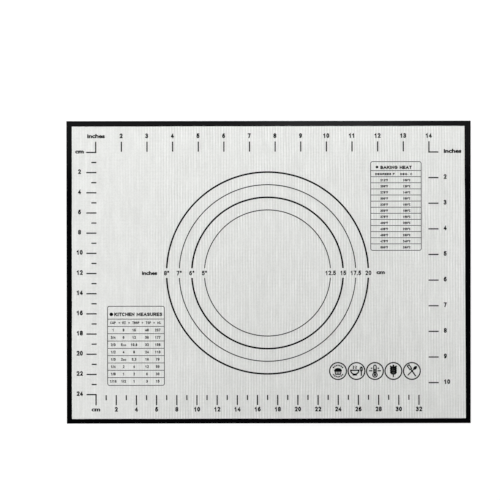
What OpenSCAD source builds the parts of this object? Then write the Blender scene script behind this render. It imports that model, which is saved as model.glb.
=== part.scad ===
// Silicone baking mat with a sealed black edge, printed rules, dough circles and tables.
// It is a bonded laminate: two silicone coats with an open glass cloth laid between them,
// a band of black silicone moulded over the cloth's cut edge, and ink cured on the upper face.
// The origin is at the middle of the underside, X runs along the width and Y to the far edge.

/* [Mat] */
// Width of the mat, edge to edge
mat_w = 400; // [330:1:560]
// Depth of the mat, edge to edge
mat_d = 300; // [245:1:420]
// Silicone over the yarns, on each face
cover_t = 0.25; // [0.15:0.01:0.5]
// Width of the black band that seals the edge
band_w = 5; // [3:0.1:12]
// How far the cloth's cut edge stays inside the mat's edge
seal_w = 1.5; // [0.5:0.1:2.5]
// Thickness of the band's lips over the two faces
lip_t = 0.12; // [0.05:0.01:0.14]

/* [Glass cloth] */
// Thickness of a yarn
yarn_t = 0.1; // [0.05:0.01:0.2]
// Width of a warp yarn, which runs along the depth
warp_w = 1.2; // [0.6:0.1:1.8]
// Spacing of the warp yarns
warp_pitch = 2.7; // [2:0.1:5]
// Width of a weft yarn, which runs along the width
weft_w = 1.2; // [0.6:0.1:2]
// Spacing of the weft yarns
weft_pitch = 3.7; // [2.4:0.1:6]

/* [Printed rules] */
// Thickness of the cured ink
ink_t = 0.04; // [0.02:0.01:0.1]
// Width of a tick
tick_line = 1.2; // [0.5:0.1:1.6]
// Length of a long tick
tick_long = 10; // [6:0.5:14]
// Length of a short tick
tick_short = 5; // [3:0.5:9]
// From the mat's left edge to the zero of the centimetre rules
rule_left = 28.75; // [20:0.25:40]
// From the mat's far edge to the zero of the centimetre rules
rule_far = 31.1; // [22:0.1:42]
// Least room between the mat's right edge and the last inch
inch_right = 36; // [26:1:50]
// Least room between the mat's right edge and the last centimetre
cm_right = 50; // [30:1:70]
// Least room between the mat's near edge and the ends of the side rules
rule_near = 25; // [18:1:36]

/* [Dough circles] */
// Growth in radius from one circle to the next
circle_step = 12.5; // [8:0.5:16]
// Width of the heavy circles
circle_heavy = 1.6; // [0.9:0.1:2.2]
// Width of the light circles
circle_light = 0.9; // [0.4:0.05:1.3]
// Height of the break in each circle that holds its label
circle_break = 9.6; // [6:0.1:14]
// Least gap between the largest circle and the rules
circle_clear = 10; // [5:0.5:15]
// Gap that a circle leaves where it would run into a table or the badges
print_clear = 3; // [1:0.5:6]
// How far right of the mat's middle the circles are printed
circle_shift_x = -1.2; // [-3:0.1:3]
// How far beyond the mat's middle the circles are printed
circle_shift_y = -0.8; // [-3:0.1:3]

/* [Volume table] */
// Width of the volume table
volume_w = 56.9; // [45:0.1:70]
// Height of its title row
volume_title = 13; // [9:0.1:16]
// Height of each row under the title
volume_row = 7.25; // [5.5:0.05:9]
// From the left rule to the table
volume_left = 11.2; // [6:0.1:16]
// From the near rule up to the table
volume_up = 8.8; // [5:0.1:14]
// Radius of the bullet before the title
volume_bullet_r = 1.8; // [0.8:0.1:2.4]
// From the table's left side to the bullet's middle
volume_bullet_x = 4; // [3:0.1:6]
// From the table's far side to the bullet's middle
volume_bullet_y = 8.3; // [4:0.1:9]

/* [Temperature table] */
// Width of the temperature table
heat_w = 50.7; // [40:0.1:62]
// Height of its title row
heat_title = 9.2; // [7:0.1:13]
// Height of each row under the title
heat_row = 6.05; // [4.5:0.05:7.5]
// From the right rule to the table
heat_right = 7.4; // [4:0.1:12]
// From the far rule down to the table
heat_down = 9.2; // [5:0.1:14]
// Radius of the bullet before the title
heat_bullet_r = 1.3; // [0.6:0.1:1.8]
// From the table's left side to the bullet's middle
heat_bullet_x = 6.6; // [4:0.1:9]
// From the table's far side to the bullet's middle
heat_bullet_y = 5.7; // [3:0.1:7]

/* [Tables and badges] */
// Width of the tables' frames
table_frame = 0.65; // [0.4:0.05:1.2]
// Width of the lines between a table's rows
table_line = 0.6; // [0.3:0.05:1]
// How much deeper a table's last row is than the others
table_foot = 0.75; // [0:0.05:1.5]
// Radius of the tables' corners
table_corner = 2.2; // [1:0.1:4]
// Outer radius of a badge ring
badge_r = 8.9; // [6:0.1:10]
// Width of a badge ring's line
badge_line = 1.2; // [0.5:0.1:1.6]
// Gap between neighbouring badges
badge_gap = 0.5; // [0.1:0.1:3]
// From the right rule to the last badge
badge_right = 8.3; // [4:0.1:14]
// From the near rule up to the badges
badge_up = 14.1; // [8:0.1:22]

/* [Hidden] */
$fn = 96;

// Spacing of the ticks on the two kinds of rule: true centimetres and true inches
cm_pitch = 10;
inch_pitch = 25.4;

// Counts that the print holds to
volume_rows = 9;
heat_rows = 13;
badge_count = 5;
ticks_per_number = 2;

// Overrun of every cut past the face that it opens
cut_over = 0.05;

// Levels of the laminate: the weft lies under the middle plane and the warp over it
mid_z = cover_t + yarn_t;
mat_t = 2 * mid_z;

// Flat sizes of the cloth and of the pale panel inside the band
cloth_w = mat_w - 2 * seal_w;
cloth_d = mat_d - 2 * seal_w;
panel_w = mat_w - 2 * band_w;
panel_d = mat_d - 2 * band_w;
warp_count = floor((cloth_w - warp_w) / warp_pitch) + 1;
weft_count = floor((cloth_d - weft_w) / weft_pitch) + 1;

// The frame that the four rules draw: as many whole units as the mat has room for
rule_x = rule_left - mat_w / 2;
rule_y = mat_d / 2 - rule_far;
inches_across = floor((mat_w - rule_left - inch_right) / inch_pitch);
cm_across = ticks_per_number * floor((mat_w - rule_left - cm_right) / cm_pitch / ticks_per_number);
inches_down = floor((mat_d - rule_far - rule_near) / inch_pitch);
cm_down = ticks_per_number * floor((mat_d - rule_far - rule_near) / cm_pitch / ticks_per_number);
right_x = rule_x + inches_across * inch_pitch;
near_y = rule_y - cm_down * cm_pitch;

// The tables' lowest corners and heights, hung from the corners of that frame
volume_d = volume_title + volume_rows * volume_row + table_foot;
volume_at = [rule_x + volume_left, near_y + volume_up];
heat_d = heat_title + heat_rows * heat_row + table_foot;
heat_at = [right_x - heat_right - heat_w, rule_y - heat_down - heat_d];

// The badges stand in a row that ends under the temperature table
badge_pitch = 2 * badge_r + badge_gap;
badge_y = near_y + badge_up + badge_r;
badge_last_x = right_x - badge_right - badge_r;
badge_first_x = badge_last_x - (badge_count - 1) * badge_pitch;

// The largest circle is the largest whole step that stays clear of the rules
circle_at = [circle_shift_x, circle_shift_y];
circle_room = min(
    rule_y - circle_at.y,
    circle_at.y - near_y,
    circle_at.x - rule_x,
    right_x - circle_at.x
);
circle_steps = floor((circle_room - circle_clear) / circle_step);

// A layer of the laminate, centred on the origin, from one level to another
module layer(w, d, low, high) {
    translate([-w / 2, -d / 2, low]) cube([w, d, high - low]);
}

// Ink of any flat shape, cured on the upper face
module ink() {
    color("#161718") translate([0, 0, mat_t]) linear_extrude(ink_t) children();
}

// The warp, over the middle plane. A cut adds its overrun below and at both ends
module warp(over = 0) {
    for (i = [0 : warp_count - 1])
        translate([(i - (warp_count - 1) / 2) * warp_pitch, 0, 0])
            layer(warp_w, cloth_d + 2 * over, mid_z - over, mid_z + yarn_t);
}

// The weft, under the middle plane. A cut adds its overrun above and at both ends
module weft(over = 0) {
    for (i = [0 : weft_count - 1])
        translate([0, (i - (weft_count - 1) / 2) * weft_pitch, 0])
            layer(cloth_w + 2 * over, weft_w, mid_z - yarn_t, mid_z + over);
}

module warp_yarns() {
    color("#f4f5f2") warp();
}

module weft_yarns() {
    color("#eceeea") weft();
}

// The lower coat fills the windows of the cloth up to the middle plane. Its margin is
// thinner, to leave room for the band's lip
module base_coat() {
    color("#dcdedb") difference() {
        union() {
            layer(panel_w, panel_d, 0, mid_z);
            layer(cloth_w, cloth_d, lip_t, mid_z);
        }
        weft(cut_over);
    }
}

// The upper coat meets the lower one in the windows and takes the warp in its underside
module top_coat() {
    color("#e4e6e3") difference() {
        union() {
            layer(panel_w, panel_d, mid_z, mat_t);
            layer(cloth_w, cloth_d, mid_z, mat_t - lip_t);
        }
        warp(cut_over);
    }
}

// The band wraps the cut edge and grips the laminate's margin between its two lips
module edge_band() {
    color("#121314") difference() {
        layer(mat_w, mat_d, 0, mat_t);
        layer(panel_w, panel_d, -cut_over, mat_t + cut_over);
        layer(cloth_w, cloth_d, lip_t, mat_t - lip_t);
    }
}

// A run of ticks from the origin along +X, each standing up along +Y from the rule's line
module ticks(count, pitch, long_every = 1) {
    for (i = [0 : count])
        translate([i * pitch - tick_line / 2, 0])
            square([tick_line, i % long_every == 0 ? tick_long : tick_short]);
}

// The corner ticks of two rules meet, so those along the width start beside the others' line
module inch_rule_far() {
    ink() translate([rule_x, rule_y + tick_line / 2]) ticks(inches_across, inch_pitch);
}

module inch_rule_right() {
    ink() translate([right_x - tick_line / 2, rule_y]) rotate(-90)
        ticks(inches_down, inch_pitch);
}

module centimetre_rule_left() {
    ink() translate([rule_x + tick_line / 2, near_y]) rotate(90)
        ticks(cm_down, cm_pitch, ticks_per_number);
}

module centimetre_rule_near() {
    ink() translate([rule_x, near_y - tick_line / 2]) mirror([0, 1])
        ticks(cm_across, cm_pitch, ticks_per_number);
}

// The place of a table or of the badges with the gap that the circles leave round it
module kept_clear(at, w, d) {
    translate([at.x - print_clear, at.y - print_clear])
        square([w + 2 * print_clear, d + 2 * print_clear]);
}

// A circle for rolling dough out to, broken at both sides for its labels
module broken_circle(rank, line) {
    radius = (circle_steps - rank) * circle_step;
    ink() difference() {
        translate(circle_at) circle(radius + line / 2);
        translate(circle_at) circle(radius - line / 2);
        translate([circle_at.x - radius - line, circle_at.y - circle_break / 2])
            square([2 * (radius + line), circle_break]);
        kept_clear(volume_at, volume_w, volume_d);
        kept_clear(heat_at, heat_w, heat_d);
        kept_clear([badge_first_x - badge_r, badge_y - badge_r],
            badge_last_x - badge_first_x + 2 * badge_r, 2 * badge_r);
    }
}

module dough_circle_largest() {
    broken_circle(0, circle_heavy);
}

module dough_circle_large() {
    broken_circle(1, circle_light);
}

module dough_circle_small() {
    broken_circle(2, circle_heavy);
}

module dough_circle_smallest() {
    broken_circle(3, circle_light);
}

// A rectangle with round corners, from the origin, drawn in by an inset on every side
module plaque(w, d, inset = 0) {
    r = table_corner - inset;
    translate([table_corner, inset]) square([w - 2 * table_corner, d - 2 * inset]);
    translate([inset, table_corner]) square([w - 2 * inset, d - 2 * table_corner]);
    for (x = [table_corner, w - table_corner], y = [table_corner, d - table_corner])
        translate([x, y]) circle(r);
}

// A framed table with a title over ruled rows and a bullet before the title
module table(w, title, row, rows, bullet_at, bullet_r) {
    d = title + rows * row + table_foot;
    difference() {
        plaque(w, d);
        plaque(w, d, table_frame);
    }
    for (i = [1 : rows])
        translate([table_frame / 2, table_foot + i * row - table_line / 2])
            square([w - table_frame, table_line]);
    translate([bullet_at.x, d - bullet_at.y]) circle(bullet_r);
}

module volume_table() {
    ink() translate(volume_at)
        table(volume_w, volume_title, volume_row, volume_rows,
            [volume_bullet_x, volume_bullet_y], volume_bullet_r);
}

module temperature_table() {
    ink() translate(heat_at)
        table(heat_w, heat_title, heat_row, heat_rows,
            [heat_bullet_x, heat_bullet_y], heat_bullet_r);
}

module badge_rings() {
    ink() for (i = [0 : badge_count - 1])
        translate([badge_first_x + i * badge_pitch, badge_y]) difference() {
            circle(badge_r);
            circle(badge_r - badge_line);
        }
}

base_coat();
weft_yarns();
warp_yarns();
top_coat();
edge_band();
centimetre_rule_left();
centimetre_rule_near();
inch_rule_far();
inch_rule_right();
dough_circle_largest();
dough_circle_large();
dough_circle_small();
dough_circle_smallest();
volume_table();
temperature_table();
badge_rings();
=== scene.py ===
import math

import bmesh
import bpy
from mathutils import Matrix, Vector


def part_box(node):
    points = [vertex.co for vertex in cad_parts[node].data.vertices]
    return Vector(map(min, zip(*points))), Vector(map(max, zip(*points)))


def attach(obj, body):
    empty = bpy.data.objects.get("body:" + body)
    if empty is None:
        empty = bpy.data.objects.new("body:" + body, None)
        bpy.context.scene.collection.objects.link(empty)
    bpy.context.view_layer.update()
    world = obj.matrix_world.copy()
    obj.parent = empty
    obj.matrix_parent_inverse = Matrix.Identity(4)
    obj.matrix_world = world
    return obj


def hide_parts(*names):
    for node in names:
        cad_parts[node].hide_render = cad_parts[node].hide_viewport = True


mm = 0.001
scene = bpy.context.scene

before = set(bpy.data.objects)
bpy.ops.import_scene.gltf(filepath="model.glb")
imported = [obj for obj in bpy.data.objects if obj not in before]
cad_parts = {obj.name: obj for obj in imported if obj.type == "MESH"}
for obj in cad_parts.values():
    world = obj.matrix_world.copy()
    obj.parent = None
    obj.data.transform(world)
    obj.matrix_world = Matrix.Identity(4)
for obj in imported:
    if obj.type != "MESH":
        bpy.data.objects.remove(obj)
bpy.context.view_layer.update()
bandLow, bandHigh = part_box("edge_band")
warpLow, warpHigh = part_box("warp_yarns")
weftLow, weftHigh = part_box("weft_yarns")
inkLow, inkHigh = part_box("badge_rings")
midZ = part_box("top_coat")[0].z  # where the two coats meet
print("frame loaded")


# Node helpers: a key of inputs is a socket's name or its number
def addNode(tree, kind, inputs=None, **settings):
    node = tree.nodes.new(kind)
    for name, value in settings.items():
        setattr(node, name, value)
    for key, source in (inputs or {}).items():
        if isinstance(source, bpy.types.NodeSocket):
            tree.links.new(source, node.inputs[key])
        else:
            node.inputs[key].default_value = source
    return node


# A new node's first output
def wire(tree, kind, inputs=None, **settings):
    return addNode(tree, kind, inputs, **settings).outputs[0]


def calc(tree, operation, *sources):
    return wire(tree, "ShaderNodeMath", dict(enumerate(sources)), operation=operation)


# The sum or product of any number of parts
def chain(tree, operation, *parts):
    result = parts[0]
    for part in parts[1:]:
        result = calc(tree, operation, result, part)
    return result


def axesOf(tree, place):
    return addNode(tree, "ShaderNodeSeparateXYZ", {0: place}).outputs


# Goes from one end of onto to the other while the value goes over its span
def mapRange(tree, value, span, onto=(0, 1), kind="LINEAR"):
    inputs = {0: value, 1: span[0], 2: span[1], 3: onto[0], 4: onto[1]}
    return wire(tree, "ShaderNodeMapRange", inputs, interpolation_type=kind)


# From -share/2 to +share/2 as a 0 to 1 value runs over its range
def swing(tree, value, share):
    return calc(tree, "MULTIPLY_ADD", value, share, -share / 2)


# How many spacings a place is from the first yarn
def phaseAt(tree, place, first, spacing):
    return calc(tree, "DIVIDE", calc(tree, "SUBTRACT", place, first), spacing)


# A wave that crests at each whole phase
def waveAt(tree, phase):
    return calc(tree, "COSINE", calc(tree, "MULTIPLY", phase, math.tau))


def noiseAt(tree, place, size, detail=2, stretch=(1, 1, 1)):
    scaled = wire(tree, "ShaderNodeMapping", {"Vector": place, "Scale": [s / size for s in stretch]})
    return wire(tree, "ShaderNodeTexNoise", {"Vector": scaled, "Scale": 1, "Detail": detail})


# A colour written as it shows on a screen, 0 to 255
def tone(red, green, blue):
    shares = [value / 255 for value in (red, green, blue)]
    linear = [s / 12.92 if s <= 0.04045 else ((s + 0.055) / 1.055) ** 2.4 for s in shares]
    return (*linear, 1)


# A new material and its parts; place is a point of its object, in metres
def newFinish(name, look):
    material = bpy.data.materials.new(name)
    material.use_nodes = True
    tree = material.node_tree
    shader = tree.nodes["Principled BSDF"]
    shader.inputs["Roughness"].default_value = look["plainRoughness"]
    shader.inputs["IOR"].default_value = look["ior"]
    shader.inputs["Specular IOR Level"].default_value = look["shine"]
    place = addNode(tree, "ShaderNodeTexCoord").outputs["Object"]
    return material, tree, shader, place


def mixTones(tree, shader, factor, first, second):
    mix = {0: factor, 6: tone(*first), 7: tone(*second)}
    colour = addNode(tree, "ShaderNodeMix", mix, data_type="RGBA").outputs[2]
    tree.links.new(colour, shader.inputs["Base Color"])


noiseSpan = (0.3, 0.7)  # where nearly all of a noise lies


def varyGloss(tree, shader, noise, look):
    gloss = mapRange(tree, noise, noiseSpan, look["roughness"])
    tree.links.new(gloss, shader.inputs["Roughness"])


def addBump(tree, shader, height, look):
    strength, distance = look["bump"]
    inputs = {"Strength": strength, "Distance": distance, "Height": height}
    tree.links.new(wire(tree, "ShaderNodeBump", inputs), shader.inputs["Normal"])


def newObject(name, data):
    made = bpy.data.objects.new(name, data)
    scene.collection.objects.link(made)
    return made


# Camera: straight above, with the photograph's field
cameraMake = {
    "lens": 85,
    "sensor": 36,
    "field": 495.5 * mm,
    "centre": (-18.5 * mm, 22.0 * mm),
    "roll": -0.08,  # degrees
}
cameraData = bpy.data.cameras.new("camera")
cameraData.lens = cameraMake["lens"]
cameraData.sensor_width = cameraMake["sensor"]
camera = newObject("camera", cameraData)
cameraRise = cameraMake["field"] * cameraMake["lens"] / cameraMake["sensor"]
camera.location = (*cameraMake["centre"], cameraRise + bandHigh.z)
camera.rotation_euler.z = math.radians(cameraMake["roll"])
scene.camera = camera
scene.view_settings.view_transform = "Standard"


# Lamps: a soft key from the left, a weak fill and a light beyond the far edge;
# and two dim panels that the black edge mirrors along its far side
lampsMake = {
    "key": {"at": (-0.85, -0.16, 0.77), "size": (0.5, 0.5), "power": 11.08},
    "fill": {"at": (0.5, -0.06, 0.25), "size": (0.2, 0.2), "power": 0.78},
    "beyond": {"at": (0.07, 0.58, 0.25), "size": (0.5, 0.35), "power": 2.88},
}
panelsMake = {
    "farPanel": {"at": (0, 0.48, 1.0), "size": (1.1, 0.6), "shape": "RECTANGLE", "radiance": 0.23},
    "farGlow": {"at": (0.13, 0.27, 0.995), "size": (0.3, 0.14), "shape": "ELLIPSE", "radiance": 0.34},
}


def addLamp(name, at, size, power, aim=(0, 0, 0), shape="RECTANGLE"):
    lampData = bpy.data.lights.new(name, "AREA")
    lampData.shape = shape
    lampData.size, lampData.size_y = size
    lampData.energy = power
    lamp = newObject(name, lampData)
    lamp.location = at
    lamp.rotation_euler = (Vector(aim) - Vector(at)).to_track_quat("-Z", "Y").to_euler()
    return lamp


for name, lampMake in lampsMake.items():
    lamp = addLamp(name, **lampMake)
    lamp.visible_glossy = False  # or the black edge mirrors it white from the other side
for name, panel in panelsMake.items():
    x, y, _ = panel["at"]
    width, depth = panel["size"]
    power = 4 * width * depth * panel["radiance"]  # a rectangle shows a quarter of its power per area
    addLamp(name, panel["at"], panel["size"], power, (x, y, 0), panel["shape"])


# World: white to the camera, and a room that darkens overhead to everything else
worldMake = {
    "heights": (0, 0.55),  # of a direction, 0 level and 1 straight up
    "strengths": (0.7, 0.012),  # at these heights
}
world = bpy.data.worlds.new("studio")
world.use_nodes = True
scene.world = world
tree = world.node_tree
height = axesOf(tree, addNode(tree, "ShaderNodeTexCoord").outputs["Generated"])["Z"]
dim = mapRange(tree, height, worldMake["heights"], worldMake["strengths"], "SMOOTHSTEP")
seen = addNode(tree, "ShaderNodeLightPath").outputs["Is Camera Ray"]
strength = wire(tree, "ShaderNodeMix", {0: seen, 2: dim, 3: 1.0})
tree.links.new(strength, tree.nodes["Background"].inputs["Strength"])
tree.nodes["Background"].inputs["Color"].default_value = (1, 1, 1, 1)


# Floor: plain white paper that keeps the mat's shadow and can't be seen from below
floorMake = {
    "half": 4.0,
    "drop": 0.1 * mm,
    "colour": (0.9, 0.9, 0.9, 1),
    "plainRoughness": 0.9,
    "ior": 1.4,
    "shine": 0.0,
    "glow": 1.2,  # how bright the paper shows apart from the lamps
    "shadowShare": 0.45,
    "shadowFade": (0.18, 0.6),  # from the mat's middle
}
floorMesh = bpy.data.meshes.new("floor")
half = floorMake["half"]
corners = ((-half, -half), (half, -half), (half, half), (-half, half))
floorMesh.from_pydata([(x, y, -floorMake["drop"]) for x, y in corners], [], [(0, 1, 2, 3)])
floor = newObject("floor", floorMesh)
# It neither shades nor lights the mat, so that the underside can be looked at
floor.visible_diffuse = False
floor.visible_glossy = False
floor.visible_shadow = False

paper, tree, shader, place = newFinish("paper", floorMake)
shader.inputs["Base Color"].default_value = floorMake["colour"]
glow = wire(tree, "ShaderNodeEmission", {"Strength": floorMake["glow"]})
away = addNode(tree, "ShaderNodeVectorMath", {0: place}, operation="LENGTH").outputs["Value"]
shaded = mapRange(tree, away, floorMake["shadowFade"], (floorMake["shadowShare"], 0))
seen = addNode(tree, "ShaderNodeLightPath").outputs["Is Camera Ray"]
glowShare = calc(tree, "MULTIPLY", seen, calc(tree, "SUBTRACT", 1, shaded))
top = wire(tree, "ShaderNodeMixShader", {0: glowShare, 1: shader.outputs[0], 2: glow})
clear = wire(tree, "ShaderNodeBsdfTransparent")
fromBelow = addNode(tree, "ShaderNodeNewGeometry").outputs["Backfacing"]
sided = wire(tree, "ShaderNodeMixShader", {0: fromBelow, 1: top, 2: clear})
tree.links.new(sided, tree.nodes["Material Output"].inputs["Surface"])
floorMesh.materials.append(paper)
print("camera, lamps and floor placed")


# Silicone over glass cloth: the cloth's ribs and cross grain show through as soft tones
weaveLook = {
    "dark": (197, 198, 195),
    "light": (242, 243, 241),
    "ior": 1.41,
    "shine": 0.2,
    "plainRoughness": 0.6,
    "roughness": (0.54, 0.66),
    "bump": (0.6, 0.02 * mm),  # strength and height
    "yarnBump": 0.25,  # of a yarn, beside the grain's
    "ribTone": 0.16,
    "ribUneven": 0.16,  # from one rib to the next
    "ribRun": 24 * mm,  # how far a rib keeps its strength
    "ribStep": 5.3,  # in the noise, from one rib to the next
    "ribSpan": (0.25, 0.75),  # of the noise, from the weakest rib to the strongest
    "ribShare": (0.6, 1.4),  # and their shares
    "patchSize": 22 * mm,
    "patchShare": (0.4, 1.6),  # of the ribs in weak and in strong patches
    "litSideFade": (-155 * mm, -85 * mm),  # painted light: the ribs fade from the second x to the first, towards the key lamp's side
    "litSideShare": 0.25,
    "drift": 0.6 * mm,  # how far a rib wanders sideways
    "driftRun": 24 * mm,
    "crossTone": 0.016,
    "crossPatch": 26 * mm,
    "crossSpan": (0.35, 0.7),
    "crossShare": (0.3, 2.0),
    "bandTone": 0.22,
    "bandSize": 8 * mm,
    "bandStretch": (1, 0.2, 1),
    "mottleTone": 0.18,
    "mottleSize": 14 * mm,
    "grainTone": 0.44,
    "grainSize": 1.2 * mm,
}
clothMake = {
    "warpPitch": 2.7 * mm,
    "weftPitch": 3.7 * mm,
    "yarnWidth": 1.2 * mm,
    "yarnHeight": 0.1 * mm,
    "climb": 0.05 * mm,  # how far a yarn rises or dips from the cloth's middle
    "level": 0.01 * mm,  # edges of the grid that go further across are the other set's
}
halfYarn = clothMake["yarnWidth"] / 2
warpCount = round((warpHigh.x - warpLow.x - 2 * halfYarn) / clothMake["warpPitch"]) + 1
weftCount = round((weftHigh.y - weftLow.y - 2 * halfYarn) / clothMake["weftPitch"]) + 1
firstWarp = warpLow.x + halfYarn
firstWeft = weftLow.y + halfYarn


# Each rib's own shade, and its strength: by rib, by patch, and with painted light that fades the ribs
# towards the left, where the key lamp falls
def ribWeights(tree, place, axes, ribPhase):
    look = weaveLook
    step = calc(tree, "MULTIPLY", calc(tree, "ROUND", ribPhase), look["ribStep"])
    run = calc(tree, "DIVIDE", axes["Y"], look["ribRun"])
    ribPlace = wire(tree, "ShaderNodeCombineXYZ", {"X": step, "Y": run})
    noise = wire(tree, "ShaderNodeTexNoise", {"Vector": ribPlace, "Scale": 1, "Detail": 1})
    shade = mapRange(tree, noise, look["ribSpan"])
    weak, strong = look["ribShare"]
    own = calc(tree, "MULTIPLY_ADD", shade, strong - weak, weak)
    patch = mapRange(tree, noiseAt(tree, place, look["patchSize"], 1), noiseSpan, look["patchShare"])
    # painted light: the ribs are washed out towards the key lamp's side, the left
    side = mapRange(tree, axes["X"], look["litSideFade"], (look["litSideShare"], 1), "SMOOTHSTEP")
    return shade, calc(tree, "MULTIPLY", own, calc(tree, "MULTIPLY", patch, side))


def wovenSilicone():
    look = weaveLook
    material, tree, shader, place = newFinish("wovenSilicone", look)
    axes = axesOf(tree, place)
    drift = swing(tree, noiseAt(tree, place, look["driftRun"], 1), 2 * look["drift"])
    across = calc(tree, "ADD", axes["X"], drift)
    ribPhase = phaseAt(tree, across, firstWarp, clothMake["warpPitch"])
    rib = waveAt(tree, ribPhase)
    cross = waveAt(tree, phaseAt(tree, axes["Y"], firstWeft, clothMake["weftPitch"]))
    ribShade, ribWeight = ribWeights(tree, place, axes, ribPhase)
    crossPatch = noiseAt(tree, place, look["crossPatch"])
    crossWeight = mapRange(tree, crossPatch, look["crossSpan"], look["crossShare"])
    bands = noiseAt(tree, place, look["bandSize"], stretch=look["bandStretch"])
    mottle = noiseAt(tree, place, look["mottleSize"], 4)
    grain = noiseAt(tree, place, look["grainSize"])
    factor = chain(
        tree,
        "ADD",
        0.5,
        chain(tree, "MULTIPLY", rib, ribWeight, look["ribTone"]),
        chain(tree, "MULTIPLY", cross, crossWeight, look["crossTone"]),
        swing(tree, ribShade, look["ribUneven"]),
        swing(tree, bands, look["bandTone"]),
        swing(tree, mottle, look["mottleTone"]),
        swing(tree, grain, look["grainTone"]),
    )
    mixTones(tree, shader, factor, look["dark"], look["light"])
    varyGloss(tree, shader, mottle, look)
    yarns = [calc(tree, "MULTIPLY", wave, look["yarnBump"]) for wave in (rib, cross)]
    addBump(tree, shader, chain(tree, "ADD", *yarns, grain), look)
    return material


# Solid black silicone of the sealed edge
edgeLook = {
    "deep": (3, 3, 4),
    "worn": (6, 6, 7),
    "ior": 1.43,
    "shine": 0.5,
    "plainRoughness": 0.18,
    "roughness": (0.11, 0.15),
    "bump": (0.3, 0.01 * mm),
    "dustSize": 1.5 * mm,
    "dustSpan": (0.55, 0.85),
    "cloudSize": 22 * mm,
}


def blackSilicone():
    look = edgeLook
    material, tree, shader, place = newFinish("blackSilicone", look)
    dust = mapRange(tree, noiseAt(tree, place, look["dustSize"], 3), look["dustSpan"])
    cloud = noiseAt(tree, place, look["cloudSize"], 3)
    mixTones(tree, shader, dust, look["deep"], look["worn"])
    varyGloss(tree, shader, cloud, look)
    addBump(tree, shader, cloud, look)
    return material


# Printed ink: a thin black film, a little thinner in places
inkLook = {
    "full": (6, 6, 7),
    "thin": (16, 16, 17),
    "thinShare": 0.8,
    "ior": 1.43,
    "shine": 0.25,
    "plainRoughness": 0.45,
    "roughness": (0.38, 0.48),
    "bump": (0.4, 0.01 * mm),
    "coverSize": 1.4 * mm,
    "coverSpan": (0.5, 0.8),
    "cloudSize": 18 * mm,
}


def printedInk():
    look = inkLook
    material, tree, shader, place = newFinish("printedInk", look)
    cover = noiseAt(tree, place, look["coverSize"], 3)
    thinned = mapRange(tree, cover, look["coverSpan"], (0, look["thinShare"]))
    mixTones(tree, shader, thinned, look["full"], look["thin"])
    varyGloss(tree, shader, noiseAt(tree, place, look["cloudSize"]), look)
    addBump(tree, shader, cover, look)
    return material


# Glass fibre yarns: fine white strands along each yarn
yarnLook = {
    "dark": (196, 201, 200),
    "light": (240, 243, 242),
    "ior": 1.5,
    "shine": 0.5,
    "plainRoughness": 0.35,
    "bump": (0.5, 0.01 * mm),
    "strand": 0.08 * mm,
    "strandSpan": (0.1, 0.45),
    "stretch": 0.02,
}


def glassYarn():
    look = yarnLook
    material, tree, shader, place = newFinish("glassYarn", look)
    strandsUp = noiseAt(tree, place, look["strand"], stretch=(1, look["stretch"], 1))
    strandsAcross = noiseAt(tree, place, look["strand"], stretch=(look["stretch"], 1, 1))
    strands = calc(tree, "MULTIPLY", strandsUp, strandsAcross)
    mixTones(tree, shader, mapRange(tree, strands, look["strandSpan"]), look["dark"], look["light"])
    addBump(tree, shader, strands, look)
    return material


finishes = {
    "coat": wovenSilicone(),
    "edge": blackSilicone(),
    "ink": printedInk(),
    "yarn": glassYarn(),
}
print("finishes made")


# Every new piece: its object at the origin, its place in its mesh
def addPiece(name, mesh, finish, nodes=()):
    mesh.materials.clear()
    mesh.materials.append(finish)
    piece = newObject(name, mesh)
    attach(piece, "root")
    if nodes:
        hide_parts(*nodes)
    return piece


# A geometry tree with a named input for each value, of the value's kind
def newTree(name, values):
    kinds = {float: "Float", int: "Int", bpy.types.Material: "Material"}
    tree = bpy.data.node_groups.new(name, "GeometryNodeTree")
    for way in ("INPUT", "OUTPUT"):
        tree.interface.new_socket("Geometry", in_out=way, socket_type="NodeSocketGeometry")
    for label, value in values.items():
        kind = "NodeSocket" + kinds[type(value)]
        tree.interface.new_socket(label, in_out="INPUT", socket_type=kind)
    return tree, tree.nodes.new("NodeGroupInput").outputs


def closeTree(tree, geometry, material):
    real = wire(tree, "GeometryNodeRealizeInstances", {0: geometry})
    painted = wire(tree, "GeometryNodeSetMaterial", {0: real, "Material": material})
    addNode(tree, "NodeGroupOutput", {0: painted})


# The finished mesh of an object, which isn't kept
def finishedMesh(holder):
    graph = bpy.context.evaluated_depsgraph_get()
    graph.update()
    made = bpy.data.meshes.new_from_object(holder.evaluated_get(graph), depsgraph=graph)
    bpy.data.objects.remove(holder)
    return made


# Runs a tree on a mesh and returns the finished mesh
def runTree(name, mesh, tree, values):
    holder = newObject(name + "Make", mesh)
    modifier = holder.modifiers.new("make", "NODES")
    modifier.node_group = tree
    for item in tree.interface.items_tree:
        if item.in_out == "INPUT" and item.name in values:
            modifier[item.identifier] = values[item.name]
    made = finishedMesh(holder)
    made.name = name
    return made


# The band's inner edge wanders a little, and the coats meet it there
bandMake = {
    # In mm, from the near left corner counterclockwise
    "innerCorners": ((-195.16, -145.22), (195.21, -144.9), (194.16, 144.66), (-194.91, 144.46)),
    "outerCorners": ((-200.27, -149.91), (200.0, -149.86), (200.4, 149.91), (-200.37, 149.96)),
    "width": 5 * mm,
    "lip": 0.12 * mm,
    "seal": 1.5 * mm,
    "round": 0.12 * mm,
    "roundSteps": 5,
    "chamfer": 0.03 * mm,
    "step": 5 * mm,
    "wave": 0.05 * mm,
    "waveLength": 120 * mm,
    "waveStart": 1.7,  # from one side to the next
    "rippleShare": 0.6,  # of a finer wave on the first
    "ripples": 2.3,  # of these to one wave
    "settle": 12,  # the wave is full from a twelfth of a side
    "sharpAngle": 25,
}
innerCorners = [Vector((x * mm, y * mm)) for x, y in bandMake["innerCorners"]]
outerCorners = [Vector((x * mm, y * mm)) for x, y in bandMake["outerCorners"]]


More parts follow.
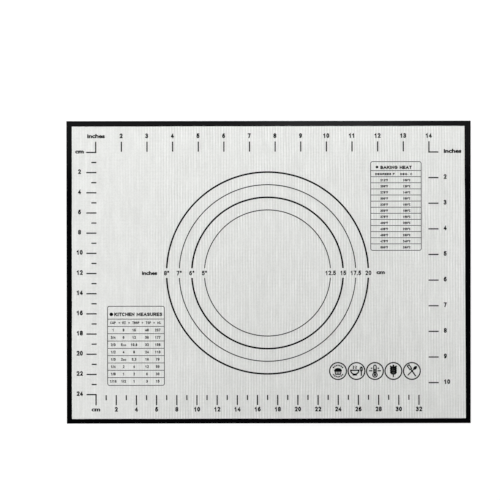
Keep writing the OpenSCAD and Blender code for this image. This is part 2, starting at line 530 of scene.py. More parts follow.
# A point of side 0 to 3 (near, right, far, left), share of the way along, and its wander
def innerPoint(side, share):
    make = bandMake
    start, end = innerCorners[side], innerCorners[(side + 1) % 4]
    point = start.lerp(end, share)
    along = (end - start).length * share
    inward = Vector((-(end - start).y, (end - start).x)).normalized()
    turn = math.tau * along / make["waveLength"] + make["waveStart"] * side
    settle = min(1, make["settle"] * share, make["settle"] * (1 - share))
    wander = math.sin(turn) + make["rippleShare"] * math.sin(make["ripples"] * turn)
    return point + inward * make["wave"] * settle * wander


# The coat's outline at a column and a row, both from 0 to 1
def coatPoint(across, up):
    near, far = innerPoint(0, across), innerPoint(2, 1 - across)
    left, right = innerPoint(3, 1 - up), innerPoint(1, up)
    low, high = near.lerp(far, up), left.lerp(right, across)
    corners = [innerPoint(side, 0) for side in range(4)]
    flat = corners[0].lerp(corners[1], across).lerp(corners[3].lerp(corners[2], across), up)
    return low + high - flat


coatMake = {
    "ribSteps": 4,  # columns of points for one rib
    "crossSteps": 2,
    "ribHeight": 0.028 * mm,
    "crossHeight": 0.01 * mm,
    "settle": 2.5 * mm,  # the ribs fade out this near the band
    "below": 0.006 * mm,  # the ribs' crests stay this far under the band's face
    "uneven": 0.5,
    "seed": 7,
    "sharpAngle": 30,
    "faceOnMap": 0.25,  # how high the outer face starts on the map
    "stripOnMap": 0.3,  # depth of the hidden faces' strip under it
}


# Places from low to high as shares: both ends, and the steps from first on that lie clear of them
def sharesBetween(low, high, first, step, count):
    places = [first + k * step for k in range(count)]
    inside = [place for place in places if low + step < place < high - step]
    return [0] + [(place - low) / (high - low) for place in inside] + [1]


# The outer face takes most of the map, and the hidden faces a strip of it
def mapCoat(mesh, points, faceCount):
    layer = mesh.uv_layers.new(name="OFBake")
    size = bandHigh.x - bandLow.x
    for polygon in mesh.polygons:
        shown = polygon.index < faceCount
        for loop in polygon.loop_indices:
            x, y, _ = points[mesh.loops[loop].vertex_index]
            u, v = (x - bandLow.x) / size, (y - bandLow.y) / size
            v = coatMake["faceOnMap"] + v if shown else coatMake["stripOnMap"] * v
            layer.data[loop].uv = (u, v)


# A coat: a fine grid on its outer face, thinner margins under the band's lips
def coatBlank(name, upward):
    left, right = innerCorners[0].x, innerCorners[1].x
    near, far = innerCorners[0].y, innerCorners[3].y
    ribSteps, crossSteps = coatMake["ribSteps"], coatMake["crossSteps"]
    ribStep, crossStep = clothMake["warpPitch"] / ribSteps, clothMake["weftPitch"] / crossSteps
    acrosses = sharesBetween(left, right, firstWarp, ribStep, warpCount * ribSteps)
    ups = sharesBetween(near, far, firstWeft, crossStep, weftCount * crossSteps)
    faceZ, way = (bandHigh.z, 1) if upward else (bandLow.z, -1)
    outerZ, lipZ = faceZ - way * coatMake["below"], faceZ - way * bandMake["lip"]
    points, relief = [], []
    for up in ups:
        for across in acrosses:
            point = coatPoint(across, up)
            toEdge = min(point.x - left, right - point.x, point.y - near, far - point.y)
            points.append((point.x, point.y, outerZ))
            relief.append(max(0, min(1, toEdge / coatMake["settle"])))
    wide, tall = len(acrosses), len(ups)
    farLeft = wide * (tall - 1)
    faces = []
    for start in range(0, farLeft, wide):
        for k in range(start, start + wide - 1):
            faces.append((k, k + 1, k + wide + 1, k + wide))
    faceCount = len(faces)
    # The rim in order round the grid, then the rings that go down to the lip and out under it
    rim = [*range(wide), *range(2 * wide - 1, farLeft + wide, wide)]
    rim += [*range(farLeft + wide - 2, farLeft - 1, -1), *range(farLeft - wide, 0, -wide)]
    sealedX = {0: bandLow.x + bandMake["seal"], wide - 1: bandHigh.x - bandMake["seal"]}
    sealedY = {0: bandLow.y + bandMake["seal"], tall - 1: bandHigh.y - bandMake["seal"]}
    rings = [rim]
    for out, z in ((False, lipZ), (True, lipZ), (True, midZ)):
        rings.append(range(len(points), len(points) + len(rim)))
        for index in rim:
            x, y, _ = points[index]
            if out:
                x, y = sealedX.get(index % wide, x), sealedY.get(index // wide, y)
            points.append((x, y, z))
            relief.append(0)
    for inner, outer in zip(rings, rings[1:]):
        for k in range(len(rim)):
            n = (k + 1) % len(rim)
            faces.append((inner[n], inner[k], outer[k], outer[n]))
    faces.append(tuple(reversed(rings[-1])))
    if not upward:
        faces = [tuple(reversed(face)) for face in faces]
    mesh = bpy.data.meshes.new(name)
    mesh.from_pydata(points, [], faces)
    attribute = mesh.attributes.new("relief", "FLOAT", "POINT")
    attribute.data.foreach_set("value", relief)
    mapCoat(mesh, points, faceCount)
    mesh.update()
    return mesh


# Ribs of the cloth pressed through the silicone
def ribTree(values):
    tree, given = newTree("pressedRibs", values)
    axes = axesOf(tree, wire(tree, "GeometryNodeInputPosition"))
    hollows = []
    for axis, kind in (("X", "Rib"), ("Y", "Cross")):
        phase = phaseAt(tree, axes[axis], given["First " + kind], given[kind + " Spacing"])
        hollow = calc(tree, "MULTIPLY_ADD", waveAt(tree, phase), -0.5, 0.5)
        dice = {"ID": calc(tree, "ROUND", phase), "Seed": given["Seed"]}
        thrown = addNode(tree, "FunctionNodeRandomValue", dice, data_type="FLOAT").outputs[1]
        share = calc(tree, "SUBTRACT", 1, calc(tree, "MULTIPLY", thrown, given["Uneven"]))
        hollows.append(chain(tree, "MULTIPLY", hollow, given[kind + " Height"], share))
    relief = wire(tree, "GeometryNodeInputNamedAttribute", {"Name": "relief"}, data_type="FLOAT")
    inward = calc(tree, "MULTIPLY", given["Outward"], -1)
    depth = chain(tree, "MULTIPLY", chain(tree, "ADD", *hollows), relief, inward)
    shift = wire(tree, "ShaderNodeCombineXYZ", {"Z": depth})
    moved = wire(tree, "GeometryNodeSetPosition", {"Geometry": given["Geometry"], "Offset": shift})
    closeTree(tree, moved, given["Material"])
    return tree


ribValues = {
    "Rib Spacing": clothMake["warpPitch"],
    "Rib Height": coatMake["ribHeight"],
    "First Rib": firstWarp,
    "Cross Spacing": clothMake["weftPitch"],
    "Cross Height": coatMake["crossHeight"],
    "First Cross": firstWeft,
    "Uneven": coatMake["uneven"],
    "Outward": 1.0,
    "Seed": coatMake["seed"],
    "Material": finishes["coat"],
}
ribs = ribTree(ribValues)
for name, node, outward in (("topCoat", "top_coat", 1.0), ("baseCoat", "base_coat", -1.0)):
    blank = coatBlank(name + "Blank", outward > 0)
    mesh = runTree(name, blank, ribs, {**ribValues, "Outward": outward})
    mesh.shade_smooth()
    mesh.set_sharp_from_angle(angle=math.radians(coatMake["sharpAngle"]))
    addPiece(name, mesh, finishes["coat"], [node])
    print(name, len(mesh.vertices), "points", len(mesh.loop_triangles), "triangles")
print("coats made")


# The four-sided faces between two loops of points
def facesBetween(first, second):
    pairs = [(k, (k + 1) % len(first)) for k in range(len(first))]
    return [(first[k], first[n], second[n], second[k]) for k, n in pairs]


# The band's section: which edge a point is set from, how far inwards it lies, and its height
def bandSection():
    r, lip, chamfer = bandMake["round"], bandMake["lip"], bandMake["chamfer"]
    low, high = bandLow.z, bandHigh.z
    turns = [math.pi / 2 * (1 - k / bandMake["roundSteps"]) for k in range(bandMake["roundSteps"] + 1)]
    corner = [("outer", r * (1 - math.sin(turn)), r * (1 - math.cos(turn))) for turn in turns]
    lower = [("outer", 2 * r, 0), ("inner", -chamfer, 0), ("inner", 0, chamfer), ("inner", 0, lip)]
    lower = corner + lower + [("outer", bandMake["seal"], lip)]
    below = [(edge, reach, low + rise) for edge, reach, rise in lower]
    above = [(edge, reach, high - rise) for edge, reach, rise in reversed(lower)]
    return below + above


def bandMesh():
    section = bandSection()
    points, faces, stations = [], [], []
    for side in range(4):
        start, end = outerCorners[side], outerCorners[(side + 1) % 4]
        count = round((end - start).length / bandMake["step"])
        for k in range(count):
            share = k / count
            stations.append((start.lerp(end, share), innerPoint(side, share)))
    for outer, inner in stations:
        way = (inner - outer) / bandMake["width"]
        for edge, reach, z in section:
            place = (outer if edge == "outer" else inner) + way * reach
            points.append((place.x, place.y, z))
    size = len(section)
    rings = [range(k * size, (k + 1) * size) for k in range(len(stations))]
    for k, ring in enumerate(rings):
        faces += facesBetween(ring, rings[(k + 1) % len(rings)])
    mesh = bpy.data.meshes.new("edgeBand")
    mesh.from_pydata(points, [], faces)
    build = bmesh.new()
    build.from_mesh(mesh)
    bmesh.ops.recalc_face_normals(build, faces=build.faces)
    build.to_mesh(mesh)
    build.free()
    mesh.shade_smooth()
    mesh.set_sharp_from_angle(angle=math.radians(bandMake["sharpAngle"]))
    return mesh


addPiece("edgeBand", bandMesh(), finishes["edge"], ["edge_band"])
print("edge band swept")


# The cloth: warps and wefts that climb over and dip under each other
def clothTree(values):
    tree, given = newTree("plainWeave", values)
    gridSize = {
        "Size X": given["Width"],
        "Size Y": given["Depth"],
        "Vertices X": given["Warps"],
        "Vertices Y": given["Wefts"],
    }
    join = tree.nodes.new("GeometryNodeJoinGeometry")
    for strayAxis, side in (("X", 1), ("Y", -1)):
        grid = addNode(tree, "GeometryNodeMeshGrid", gridSize).outputs["Mesh"]
        ends = addNode(tree, "GeometryNodeInputMeshEdgeVertices").outputs
        between = {0: ends["Position 1"], 1: ends["Position 2"]}
        run = wire(tree, "ShaderNodeVectorMath", between, operation="SUBTRACT")
        stray = {0: calc(tree, "ABSOLUTE", axesOf(tree, run)[strayAxis]), 1: clothMake["level"]}
        wrongWay = wire(tree, "FunctionNodeCompare", stray, operation="GREATER_THAN")
        # Every second crossing is lifted on one set of yarns and lowered on the other
        index = wire(tree, "GeometryNodeInputIndex")
        column = calc(tree, "FLOOR", calc(tree, "DIVIDE", index, given["Wefts"]))
        row = calc(tree, "MODULO", index, given["Wefts"])
        odd = calc(tree, "MODULO", calc(tree, "ADD", column, row), 2)
        lift = calc(tree, "MULTIPLY_ADD", odd, 2 * side, -side)
        rise = calc(tree, "MULTIPLY_ADD", lift, given["Climb"], given["Middle"])
        shift = wire(tree, "ShaderNodeCombineXYZ", {"Z": rise})
        waved = wire(tree, "GeometryNodeSetPosition", {"Geometry": grid, "Offset": shift})
        cut = {"Geometry": waved, "Selection": wrongWay}
        lines = wire(tree, "GeometryNodeDeleteGeometry", cut, domain="EDGE", mode="EDGE_FACE")
        curves = wire(tree, "GeometryNodeMeshToCurve", {0: lines})
        ring = wire(tree, "GeometryNodeCurvePrimitiveCircle", {"Resolution": 4, "Radius": 0.5})
        size = {"X": given["Yarn Width"], "Y": given["Yarn Height"], "Z": 1.0}
        flat = wire(tree, "ShaderNodeCombineXYZ", size)
        section = wire(tree, "GeometryNodeTransform", {"Geometry": ring, "Scale": flat})
        sweep = {"Curve": curves, "Profile Curve": section, "Fill Caps": True}
        tree.links.new(wire(tree, "GeometryNodeCurveToMesh", sweep), join.inputs[0])
    closeTree(tree, join.outputs[0], given["Material"])
    return tree


clothValues = {
    "Warps": warpCount,
    "Wefts": weftCount,
    "Width": (warpCount - 1) * clothMake["warpPitch"],
    "Depth": (weftCount - 1) * clothMake["weftPitch"],
    "Yarn Width": clothMake["yarnWidth"],
    "Yarn Height": clothMake["yarnHeight"],
    "Climb": clothMake["climb"],
    "Middle": midZ,
    "Material": finishes["yarn"],
}
blank = bpy.data.meshes.new("clothBlank")
cloth = runTree("glassCloth", blank, clothTree(clothValues), clothValues)
glassCloth = addPiece("glassCloth", cloth, finishes["yarn"], ["warp_yarns", "weft_yarns"])
cloth.calc_loop_triangles()
print("glass cloth woven,", len(cloth.loop_triangles), "triangles")


# Ink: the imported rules, circles, tables and rings keep their shapes and take the printed finish
inkNodes = [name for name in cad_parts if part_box(name)[1].z > bandHigh.z]
for name in inkNodes:
    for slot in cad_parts[name].material_slots:
        slot.material = finishes["ink"]
print(len(inkNodes), "printed nodes painted")


# Lettering: the built-in face, made heavier by a bevel, then pressed flat to the ink's thickness
letterMake = {
    "capShare": 0.682,  # height of a capital at size 1
    "steps": 3,
    "joined": 1e-5,  # points this near are one, at size 1
}
lineMake = {
    "layer": 0.002 * mm,  # lines that cross differ in height by this
    "leastSpread": 0.4,  # a mitre goes no further than width / 2 over this
    "outerSpread": 0.65,  # and on the outside of a corner no further than over this
}


def letterMesh(text, weight):
    curve = bpy.data.curves.new("letters", "FONT")
    curve.body = text
    curve.bevel_depth = weight
    curve.bevel_resolution = 0
    curve.resolution_u = letterMake["steps"]
    mesh = finishedMesh(newObject("letters", curve))
    bpy.data.curves.remove(curve)
    return mesh


# Adds a word whose capitals are centred on a height; side -1, 0 or 1 is its left end, middle or right end
def addWord(build, text, x, y, width, height, weight, side=0):
    mesh = letterMesh(text, weight)
    word = bmesh.new()
    word.from_mesh(mesh)
    bmesh.ops.remove_doubles(word, verts=word.verts, dist=letterMake["joined"])
    left = min(v.co.x for v in word.verts)
    right = max(v.co.x for v in word.verts)
    scaleX = width / (right - left)
    scaleY = height / (letterMake["capShare"] + 2 * weight)
    anchor = left + (right - left) * (side + 1) / 2
    for v in word.verts:
        rise = (v.co.z / weight + 1) / 2
        v.co.x = x + (v.co.x - anchor) * scaleX
        v.co.y = y + (v.co.y - letterMake["capShare"] / 2) * scaleY
        v.co.z = inkLow.z + (inkHigh.z - inkLow.z) * rise
    word.to_mesh(mesh)
    word.free()
    build.from_mesh(mesh)
    bpy.data.meshes.remove(mesh)


def oval(x, y, across, up, start=0, end=360, steps=20, turn=0):
    points = []
    for k in range(steps + (end - start != 360)):
        angle = math.radians(start + (end - start) * k / steps)
        dx, dy = across * math.cos(angle), up * math.sin(angle)
        c, s = math.cos(math.radians(turn)), math.sin(math.radians(turn))
        points.append((x + dx * c - dy * s, y + dx * s + dy * c))
    return points


# A line of ink along points, mitred at its corners; lines that cross lie on layers of their own
def addLine(build, at, scale, points, width, closed=False, layer=0, overrun=0):
    places = [Vector(p) for p in points]
    if overrun:
        places[0] += (places[0] - places[1]).normalized() * overrun
        places[-1] += (places[-1] - places[-2]).normalized() * overrun
    topZ = inkHigh.z - layer * lineMake["layer"]
    count = len(places)
    rims = []
    for k, place in enumerate(places):
        before = places[k - 1] if closed or k else None
        after = places[(k + 1) % count] if closed or k < count - 1 else None
        into = (place - before).normalized() if before is not None else (after - place).normalized()
        out = (after - place).normalized() if after is not None else into
        normal = Vector((-(into + out).y, (into + out).x)).normalized()
        spread = max(lineMake["leastSpread"], normal.dot(Vector((-into.y, into.x))))
        bend = into.x * out.y - into.y * out.x
        corners = []
        for side, z in ((1, inkLow.z), (1, topZ), (-1, topZ), (-1, inkLow.z)):
            # The outside of a sharp corner is cut short
            reach = width / 2 / (max(lineMake["outerSpread"], spread) if side * bend < 0 else spread)
            spot = place + normal * reach * side
            corners.append(build.verts.new((at.x + spot.x * scale, at.y + spot.y * scale, z)))
        rims.append(corners)
    for k in range(count if closed else count - 1):
        for face in facesBetween(rims[k], rims[(k + 1) % count]):
            build.faces.new(face)
    if not closed:
        build.faces.new(rims[0])
        build.faces.new(tuple(reversed(rims[-1])))


# Figures and capitals are drawn with strokes. A sign has its cell's width, as a share of a figure's,
# its closed middle lines and its open ones, whose points go from 0 to 1 across the cell and up it
figureMake = {
    "width": 0.61,  # of the height
    "gap": 0.085,
    "small": 0.66,  # height of a fraction's figures beside a whole number
    "smallStroke": 0.75,
    "fractions": {"\u2153": "1/3", "\u2154": "2/3"},
}
stem = [(0, 0), (0, 1)]
bow = [(0, 1), *oval(0.5, 0.73, 0.5, 0.27, 90, -90, 8), (0, 0.46)]
figureShapes = {
    "0": (1, [oval(0.5, 0.5, 0.5, 0.5)], []),
    "1": (1, [], [[(0.12, 0.74), (0.64, 1), (0.64, 0)]]),
    "2": (1, [], [oval(0.5, 0.71, 0.5, 0.29, 155, -38, 10) + [(0.02, 0), (1, 0)]]),
    "3": (1, [], [oval(0.44, 0.76, 0.47, 0.24, 140, -90, 10), oval(0.46, 0.27, 0.54, 0.27, 90, -145, 12)]),
    "4": (1, [], [[(0.78, 0), (0.78, 1), (0.02, 0.36)], [(0.02, 0.27), (1.05, 0.27)]]),
    "5": (1, [], [[(0.92, 1), (0.17, 1), (0.08, 0.55)], oval(0.48, 0.33, 0.52, 0.33, 128, -155, 12)]),
    "6": (1, [oval(0.5, 0.31, 0.5, 0.31)], [oval(0.62, 0.31, 0.62, 0.69, 180, 72, 8)]),
    "7": (1, [], [[(0, 1), (1, 1), (0.34, 0)]]),
    "8": (1, [oval(0.5, 0.75, 0.48, 0.25), oval(0.5, 0.25, 0.52, 0.25)], []),
    "9": (1, [oval(0.5, 0.69, 0.5, 0.31)], [oval(0.38, 0.69, 0.62, 0.69, 0, -108, 8)]),
    ".": (0.4, [], [[(0.5, 0), (0.5, 0.01)]]),
    "/": (0.55, [], [[(0, 0), (1, 1)]]),
    "=": (0.9, [], [[(0, 0.3), (1, 0.3)], [(0, 0.7), (1, 0.7)]]),
    "\"": (0.7, [], [[(0.15, 1), (0.15, 0.74)], [(0.85, 1), (0.85, 0.74)]]),
    "\u00b0": (0.6, [oval(0.5, 0.84, 0.5, 0.2, steps=10)], []),
    "A": (1.2, [], [[(0, 0), (0.5, 1), (1, 0)], [(0.2, 0.3), (0.8, 0.3)]]),
    "B": (1, [], [
        stem,
        [(0, 1), *oval(0.45, 0.76, 0.42, 0.24, 90, -90, 8), (0, 0.52)],
        [(0, 0.5), *oval(0.5, 0.25, 0.5, 0.25, 90, -90, 8), (0, 0)],
    ]),
    "C": (1.1, [], [oval(0.5, 0.5, 0.5, 0.5, 50, 310, 14)]),
    "D": (1.1, [[(0, 0), (0, 1), *oval(0.4, 0.5, 0.6, 0.5, 90, -90, 12)]], []),
    "E": (0.95, [], [[(1, 1), (0, 1), (0, 0), (1, 0)], [(0, 0.5), (0.88, 0.5)]]),
    "F": (0.9, [], [[(0, 0), (0, 1), (1, 1)], [(0, 0.5), (0.85, 0.5)]]),
    "G": (1.15, [], [[*oval(0.5, 0.5, 0.5, 0.5, 50, 320, 14), (1, 0.42), (0.62, 0.42)]]),
    "H": (1.1, [], [stem, [(1, 0), (1, 1)], [(0, 0.5), (1, 0.5)]]),
    "I": (0.4, [], [[(0.5, 0), (0.5, 1)]]),
    "K": (1.1, [], [stem, [(0.95, 1), (0.05, 0.42)], [(0.35, 0.6), (1, 0)]]),
    "L": (0.9, [], [[(0, 1), (0, 0), (1, 0)]]),
    "M": (1.35, [], [[(0, 0), (0, 1), (0.5, 0.2), (1, 1), (1, 0)]]),
    "N": (1.1, [], [[(0, 0), (0, 1), (1, 0), (1, 1)]]),
    "O": (1.2, [oval(0.5, 0.5, 0.5, 0.5, steps=22)], []),
    "P": (1, [], [stem, bow]),
    "R": (1.05, [], [stem, bow, [(0.5, 0.42), (0.95, 0)]]),
    "S": (1, [], [oval(0.5, 0.75, 0.46, 0.25, 30, 265, 10) + oval(0.5, 0.25, 0.5, 0.25, 80, -150, 10)]),
    "T": (1, [], [[(0, 1), (1, 1)], [(0.5, 0), (0.5, 0.95)]]),
    "U": (1.1, [], [[(0, 1), *oval(0.5, 0.36, 0.5, 0.36, 180, 360, 10), (1, 1)]]),
    "Z": (1, [], [[(0, 1), (1, 1), (0, 0), (1, 0)]]),
    " ": (0.55, [], []),
}


def signWidth(sign, height):
    make = figureMake
    if sign in make["fractions"]:
        return textWidth(make["fractions"][sign], height * make["small"], make["gap"])
    return figureShapes[sign][0] * make["width"] * height


def textWidth(text, height, gap):
    return sum(signWidth(sign, height) for sign in text) + gap * height * (len(text) - 1)


# Adds a text whose middle height is y; side -1, 0 or 1 is its left end, middle or right end
def addText(build, text, x, y, height, stroke, width=None, side=0, gap=figureMake["gap"]):
    make = figureMake
    whole = textWidth(text, height, gap)
    squeeze = width / whole if width else 1
    left = x - whole * squeeze * (side + 1) / 2
    for sign in text:
        cell = signWidth(sign, height) * squeeze
        if sign in make["fractions"]:
            small = height * make["small"]
            smallY = y - (height - small) / 2
            smallStroke = stroke * make["smallStroke"]
            addText(build, make["fractions"][sign], left, smallY, small, smallStroke, cell, -1)
        else:
            _, loops, lines = figureShapes[sign]
            corner = Vector((left + stroke / 2, y - height / 2 + stroke / 2))
            across, up = cell - stroke, height - stroke
            for layer, points in enumerate(loops + lines):
                places = [(px * across, py * up) for px, py in points]
                closed = layer < len(loops)
                addLine(build, corner, 1, places, stroke, closed, layer, 0 if closed else stroke / 2)
        left += cell + gap * height * squeeze


def addPrint(name, build):
    bmesh.ops.recalc_face_normals(build, faces=build.faces)
    mesh = bpy.data.meshes.new(name)
    build.to_mesh(mesh)
    build.free()
    addPiece(name, mesh, finishes["ink"])


ruleMake = {
    "tick": 1.2 * mm,
    "height": 4.75 * mm,
    "stroke": 1.15 * mm,
    "wordHeight": 4.1 * mm,
    "weight": 0.047,
    "lift": 1.0 * mm,  # of the numbers beside a rule that runs away from the reader
}
unitMake = {
    "inches": {"step": 25.4 * mm, "every": 1, "ahead": 1, "width": 17.6 * mm},
    "cm": {"step": 10 * mm, "every": 2, "ahead": 0, "width": 8.6 * mm},
}


# Puts a unit word at a rule's first tick, a little off the line, then its numbers along the rule;
# gap is from the ticks' ends to the numbers' middles or, with side -1, to their left ends
def ruleWords(name, node, unit, gap, off, back=0, side=0):
    make, numbers = ruleMake, unitMake[unit]
    low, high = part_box(node)
    wide, tall = high.x - low.x, high.y - low.y
    edge = high if gap > 0 else low

    def spot(run):
        if wide > tall:
            return low.x + make["tick"] / 2 + run - back, edge.y + gap
        return edge.x + gap, high.y - make["tick"] / 2 + make["lift"] - run

    build = bmesh.new()
    x, y = spot(0)
    x, y = x + off[0] * mm, y + off[1] * mm
    addWord(build, unit, x, y, numbers["width"], make["wordHeight"], make["weight"], side)
    ticks = round((max(wide, tall) - make["tick"]) / numbers["step"])
    for k in range(numbers["every"], ticks + 1, numbers["every"]):
        x, y = spot(k * numbers["step"])
        addText(build, str(k + numbers["ahead"]), x, y, make["height"], make["stroke"], side=side)
    addPrint(name, build)


ruleWords("inchNumbersFar", "inch_rule_far", "inches", 5.8 * mm, (0.55, -0.2), back=0.25 * mm)
ruleWords("inchNumbersRight", "inch_rule_right", "inches", 5.1 * mm, (0.1, 0.1), side=-1)
ruleWords("cmNumbersLeft", "centimetre_rule_left", "cm", -6.75 * mm, (0.0, 0.0))
ruleWords("cmNumbersNear", "centimetre_rule_near", "cm", -4.0 * mm, (-0.25, 0.0))
print("rules numbered")


# Circle sizes: inches at the left break, centimetres at the right one
circleMake = {
    "height": 4.55 * mm,
    "stroke": 0.98 * mm,
    "wordHeight": 3.9 * mm,
    "weight": 0.05,
    "inchesAt": (-125.6 * mm, 0.1 * mm, 15.1 * mm),  # left end, rise and width
    "cmAt": (106.7 * mm, 0.7 * mm, 8.4 * mm),
}
circleLines = {
    "dough_circle_largest": (1.6 * mm, "8\"", "20"),
    "dough_circle_large": (0.9 * mm, "7\"", "17.5"),
    "dough_circle_small": (1.6 * mm, "6\"", "15"),
    "dough_circle_smallest": (0.9 * mm, "5\"", "12.5"),
}


def circleWords():
    make = circleMake
    build = bmesh.new()
    for node, (line, inchSize, cmSize) in circleLines.items():
        low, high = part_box(node)
        middle = (low + high) / 2
        radius = (high.y - low.y - line) / 2
        addText(build, inchSize, middle.x - radius, middle.y, make["height"], make["stroke"])
        addText(build, cmSize, middle.x + radius, middle.y, make["height"], make["stroke"])
    for unit, (x, rise, width) in (("inches", make["inchesAt"]), ("cm", make["cmAt"])):
        addWord(build, unit, x, middle.y + rise, width, make["wordHeight"], make["weight"], -1)
    addPrint("circleLabels", build)


circleWords()
print("circles labelled")


# Tables: places across are from the table's left side, down from its far side. A title has its text,
# left end, depth, width, height and stroke; a head has its text, middle and, where it's set, width
volumeMake = {
    "title": ("KITCHEN MEASURES", 6.9 * mm, 8.3 * mm, 47.6 * mm, 3.5 * mm, 0.92 * mm),
    "heads": (
        ("CUP", 5.6 * mm), ("OZ", 16.5 * mm), ("TBSP", 28.3 * mm), ("TSP", 40.7 * mm), ("ML", 51.4 * mm),
        ("=", 11.9 * mm), ("=", 21.6 * mm), ("=", 34.9 * mm), ("=", 46.4 * mm),
    ),
    "headHeight": 2.6 * mm,
    "headStroke": 0.56 * mm,
    "valuesAt": (5.8 * mm, 16.1 * mm, 26.5 * mm, 39.3 * mm, 49.9 * mm),
    "valueHeight": 2.8 * mm,
    "valueStroke": 0.63 * mm,
    "valueWidth": None,
    "titleRow": 13.0 * mm,
    "row": 7.25 * mm,
    "sink": 0,
}
volumeRows = (
    ("1", "8", "16", "48", "237"),
    ("3/4", "6", "12", "36", "177"),
    ("2/3", "5\u2153", "10.6", "32", "158"),
    ("1/2", "4", "8", "24", "118"),
    ("1/3", "2\u2154", "5.3", "16", "79"),
    ("1/4", "2", "4", "12", "59"),
    ("1/8", "1", "2", "6", "30"),
    ("1/16", "1/2", "1", "3", "15"),
)
heatMake = {
    "title": ("BAKING HEAT", 10.0 * mm, 6.0 * mm, 31.1 * mm, 3.3 * mm, 0.88 * mm),
    "heads": (("DEGREES F", 14.4 * mm, 19.4 * mm), ("DEG. C", 35.6 * mm, 12.2 * mm)),
    "headHeight": 2.1 * mm,
    "headStroke": 0.62 * mm,
    "valuesAt": (13.7 * mm, 36.0 * mm),
    "valueHeight": 2.4 * mm,
    "valueStroke": 0.64 * mm,
    "valueWidth": 7.6 * mm,
    "titleRow": 9.2 * mm,
    "row": 6.05 * mm,
    "sink": 0.4 * mm,  # of the text under the middle of its row
}
heatRows = ((212, 100), (250, 120), (275, 140), (300, 150), (325, 160), (350, 180))
heatRows += ((375, 190), (400, 200), (425, 220), (450, 230), (475, 240), (500, 260))
titleGap = 0.05  # between a title's letters, as a share of their height


def tableWords(name, node, make, rows):
    low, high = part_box(node)
    build = bmesh.new()
    text, across, down, width, height, stroke = make["title"]
    addText(build, text, low.x + across, high.y - down, height, stroke, width, -1, titleGap)
    y = high.y - make["titleRow"] - make["row"] / 2 - make["sink"]
    for text, across, *width in make["heads"]:
        addText(build, text, low.x + across, y, make["headHeight"], make["headStroke"], *width)
    size = (make["valueHeight"], make["valueStroke"], make["valueWidth"])
    for values in rows:
        y -= make["row"]
        for across, value in zip(make["valuesAt"], values):
            addText(build, value, low.x + across, y, *size)
    addPrint(name, build)


tableWords("volumeLettering", "volume_table", volumeMake, volumeRows)
degreeRows = [(f"{fahrenheit}\u00b0F", f"{celsius}\u00b0C") for fahrenheit, celsius in heatRows]
tableWords("heatLettering", "temperature_table", heatMake, degreeRows)
print("tables lettered")


# Badge pictures, drawn in shares of the ring's inner radius
badgeMake = {
    "count": 5,
    "ring": 1.2 * mm,
    "line": 0.14,
    "loopLayers": 3,
    "lineLayers": 5,
}


# A flat plate of ink within an outline
def addPlate(build, at, scale, outline):
    lows = [build.verts.new((at.x + x * scale, at.y + y * scale, inkLow.z)) for x, y in outline]
    highs = [build.verts.new((at.x + x * scale, at.y + y * scale, inkHigh.z)) for x, y in outline]
    build.faces.new(lows)
    build.faces.new(highs)
    for face in facesBetween(lows, highs):
        build.faces.new(face)


# Each picture gives its closed lines and its open lines, both with their widths, and its filled plates
def muffin(line):
    dashes = []
    for middle in (90, 270):
        for k in range(-3, 4):
            turn = middle + 17 * k
            dashes.append((oval(0, 0, 0.74, 0.74, turn - 6, turn + 6, 3), 0.2))
    wrapper = [(-0.4, -0.02), (-0.29, -0.42), (0.29, -0.42), (0.4, -0.02)]
    pleats = [([(x, -0.02), (x * 0.72, -0.42)], line * 0.8) for x in (-0.13, 0.13)]
    return [(wrapper, line)], dashes + pleats, [oval(0, 0.0, 0.52, 0.4, 0, 180, 14)]


def bowlAndWhisk(line):
    bowl = oval(-0.22, 0.1, 0.52, 0.52, 180, 360, 14)
    foot = [(-0.5, -0.5), (0.06, -0.5)]
    wave = ((0.06, 0.26), (-0.06, 0.4), (0.06, 0.54), (-0.06, 0.68))
    steam = [[(x + dx, y) for dx, y in wave] for x in (-0.38, -0.06)]
    handle = [(0.62, -0.62), (0.62, 0.0)]
    wires = [(oval(0.62, 0.26, across, 0.3, steps=16), line * 0.6) for across in (0.17, 0.06)]
    lines = [(foot, line * 1.2), (handle, line * 1.1)] + [(wisp, line * 0.8) for wisp in steam]
    return [(bowl, line * 1.2)] + wires, lines, []


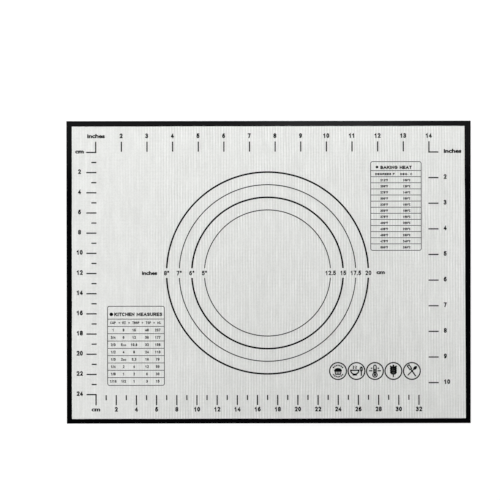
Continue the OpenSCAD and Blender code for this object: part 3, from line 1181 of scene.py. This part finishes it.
def thermometer(line):
    tube = [(-0.16, -0.26), *reversed(oval(0, 0.6, 0.16, 0.16, 0, 180, 8)), (0.16, -0.26)]
    column = [(0, -0.46), (0, 0.3)]
    marks = []
    for side in (-1, 1):
        for y, reach in ((0.36, 0.54), (0.03, 0.78)):
            marks.append(([(0.33 * side, y), (reach * side, y)], line * 1.1))
    bulb = oval(0, -0.5, 0.29, 0.29)
    return [(bulb, line)], [(tube, line), (column, line)] + marks, [oval(0, -0.5, 0.16, 0.16)]


def wheatEar(line):
    grains = [oval(0, 0.6, 0.13, 0.24, steps=12)]
    for k in range(4):
        y = -0.34 + 0.25 * k
        for side in (-1, 1):
            grains.append(oval(0.25 * side, y + 0.08, 0.27, 0.13, steps=12, turn=46 * side))
    return [], [([(0, -0.78), (0, 0.42)], line)], grains


def spoonAndSpatula(line):
    blade = [(-0.36, 0.8), (-0.58, 0.64), (-0.26, 0.18), (-0.04, 0.34)]
    return (
        [(blade, line)],
        [([(-0.15, 0.25), (0.5, -0.68)], line * 1.2), ([(0.3, 0.28), (-0.54, -0.56)], line)],
        [oval(0.42, 0.4, 0.31, 0.19, steps=14, turn=45)],
    )


def badgePictures():
    make = badgeMake
    build = bmesh.new()
    outer = (inkHigh.y - inkLow.y) / 2
    pitch = (inkHigh.x - inkLow.x - 2 * outer) / (make["count"] - 1)
    inner = outer - make["ring"]
    for k, picture in enumerate((muffin, bowlAndWhisk, thermometer, wheatEar, spoonAndSpatula)):
        at = Vector((inkLow.x + outer + k * pitch, inkLow.y + outer))
        loops, lines, plates = picture(make["line"])
        # Lines of one kind that cross lie on layers of their own under the plates' faces
        for n, (points, width) in enumerate(loops):
            addLine(build, at, inner, points, width, True, 1 + n % make["loopLayers"])
        for n, (points, width) in enumerate(lines):
            layer = 1 + make["loopLayers"] + n % make["lineLayers"]
            addLine(build, at, inner, points, width, False, layer)
        for outline in plates:
            addPlate(build, at, inner, outline)
    addPrint("badgePictures", build)


badgePictures()
print("badges drawn")
